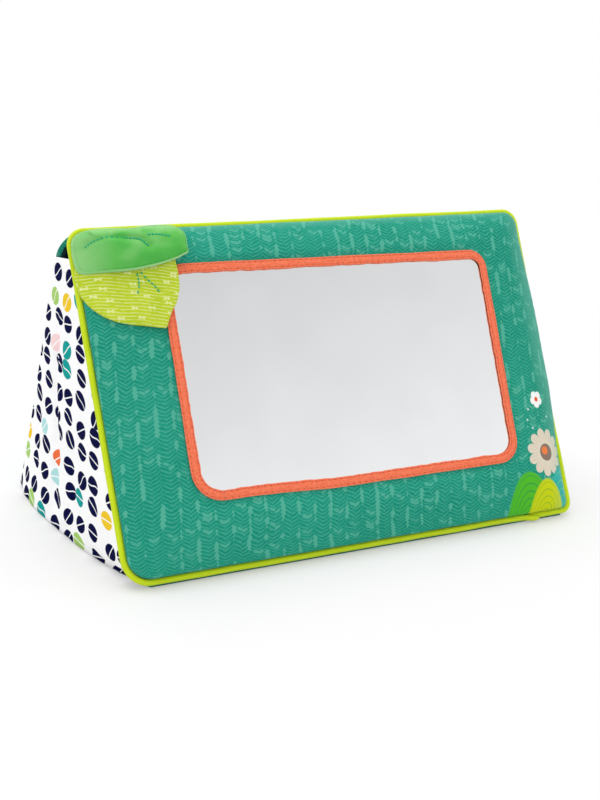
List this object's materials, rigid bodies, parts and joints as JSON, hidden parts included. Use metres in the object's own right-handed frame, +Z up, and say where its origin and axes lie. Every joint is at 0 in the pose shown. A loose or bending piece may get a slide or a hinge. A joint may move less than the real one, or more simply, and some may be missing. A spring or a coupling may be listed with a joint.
{
  "type": "baby mirror toy",
  "caption": "Free-standing padded floor mirror for a baby: a tent of two hinged padded panels with cloth sides and base, a taped mirror window and soft leaf flaps.",
  "frame": {"origin": "on the floor under the middle of the whole toy's bounding box", "axes": "+X to the right along the panels' width, seen from the front; +Y to the back; +Z up; the mirror faces -Y and up"},
  "size_m": [0.3794, 0.2292, 0.2235],
  "materials": {
    "teal_velour": "short velour, printed with a fine chevron",
    "teal_cloth": "plain weave",
    "padding": "soft polyester wadding",
    "board": "plain stiffener board",
    "mirror_film": "polished film, slightly wavy",
    "coral_tape": "woven binding tape",
    "coral_thread": "sewing thread",
    "lime_piping": "bias-cut cloth over cord",
    "printed_cotton": "white plain weave with a scattered print",
    "lime_print": "printed cotton",
    "green_velour": "short velour",
    "crinkle_film": "thin clear film",
    "teal_thread": "embroidery thread"
  },
  "bodies": {
    "front_panel": {"front_cover": "teal_velour", "front_foam_pad": "padding", "front_board": "board", "front_lining": "teal_cloth", "mirror_backer": "board", "mirror_sheet": "mirror_film", "mirror_binding": "coral_tape", "binding_outer_stitch": "coral_thread", "binding_inner_stitch": "coral_thread", "front_piping": "lime_piping", "front_piping_cord": "padding", "top_hinge_strip": "teal_cloth", "left_gusset": "printed_cotton", "right_gusset": "printed_cotton", "base_panel": "teal_cloth"},
    "back_panel": {"back_cover": "teal_velour", "back_foam_pad": "padding", "back_board": "board", "back_lining": "teal_cloth"},
    "lime_leaf": {"lime_leaf_back": "lime_print", "lime_leaf_crinkle_film": "crinkle_film", "lime_leaf_face": "lime_print", "lime_leaf_midrib_stitch": "teal_thread", "lime_leaf_vein_stitch": "teal_thread"},
    "green_leaf": {"green_leaf_back": "green_velour", "green_leaf_batting": "padding", "green_leaf_face": "green_velour", "green_leaf_midrib_stitch": "teal_thread", "green_leaf_vein_stitch": "teal_thread"}
  },
  "joints": [
    {"name": "back_fold", "type": "hinge", "parent": "front_panel", "child": "back_panel", "pos_m": [0, 0.0019, 0.22278], "axis": [1, 0, 0], "range_deg": [-50, 0], "deforming": ["top_hinge_strip", "left_gusset", "right_gusset", "base_panel"]},
    {"name": "lime_leaf_lift", "type": "hinge", "parent": "front_panel", "child": "lime_leaf", "pos_m": [-0.18, -0.02162, 0.19856], "axis": [0, -0.4226, -0.9063], "range_deg": [0, 75]},
    {"name": "green_leaf_lift", "type": "hinge", "parent": "lime_leaf", "child": "green_leaf", "pos_m": [-0.18, -0.02511, 0.20516], "axis": [0, -0.4226, -0.9063], "range_deg": [0, 75]}
  ]
}
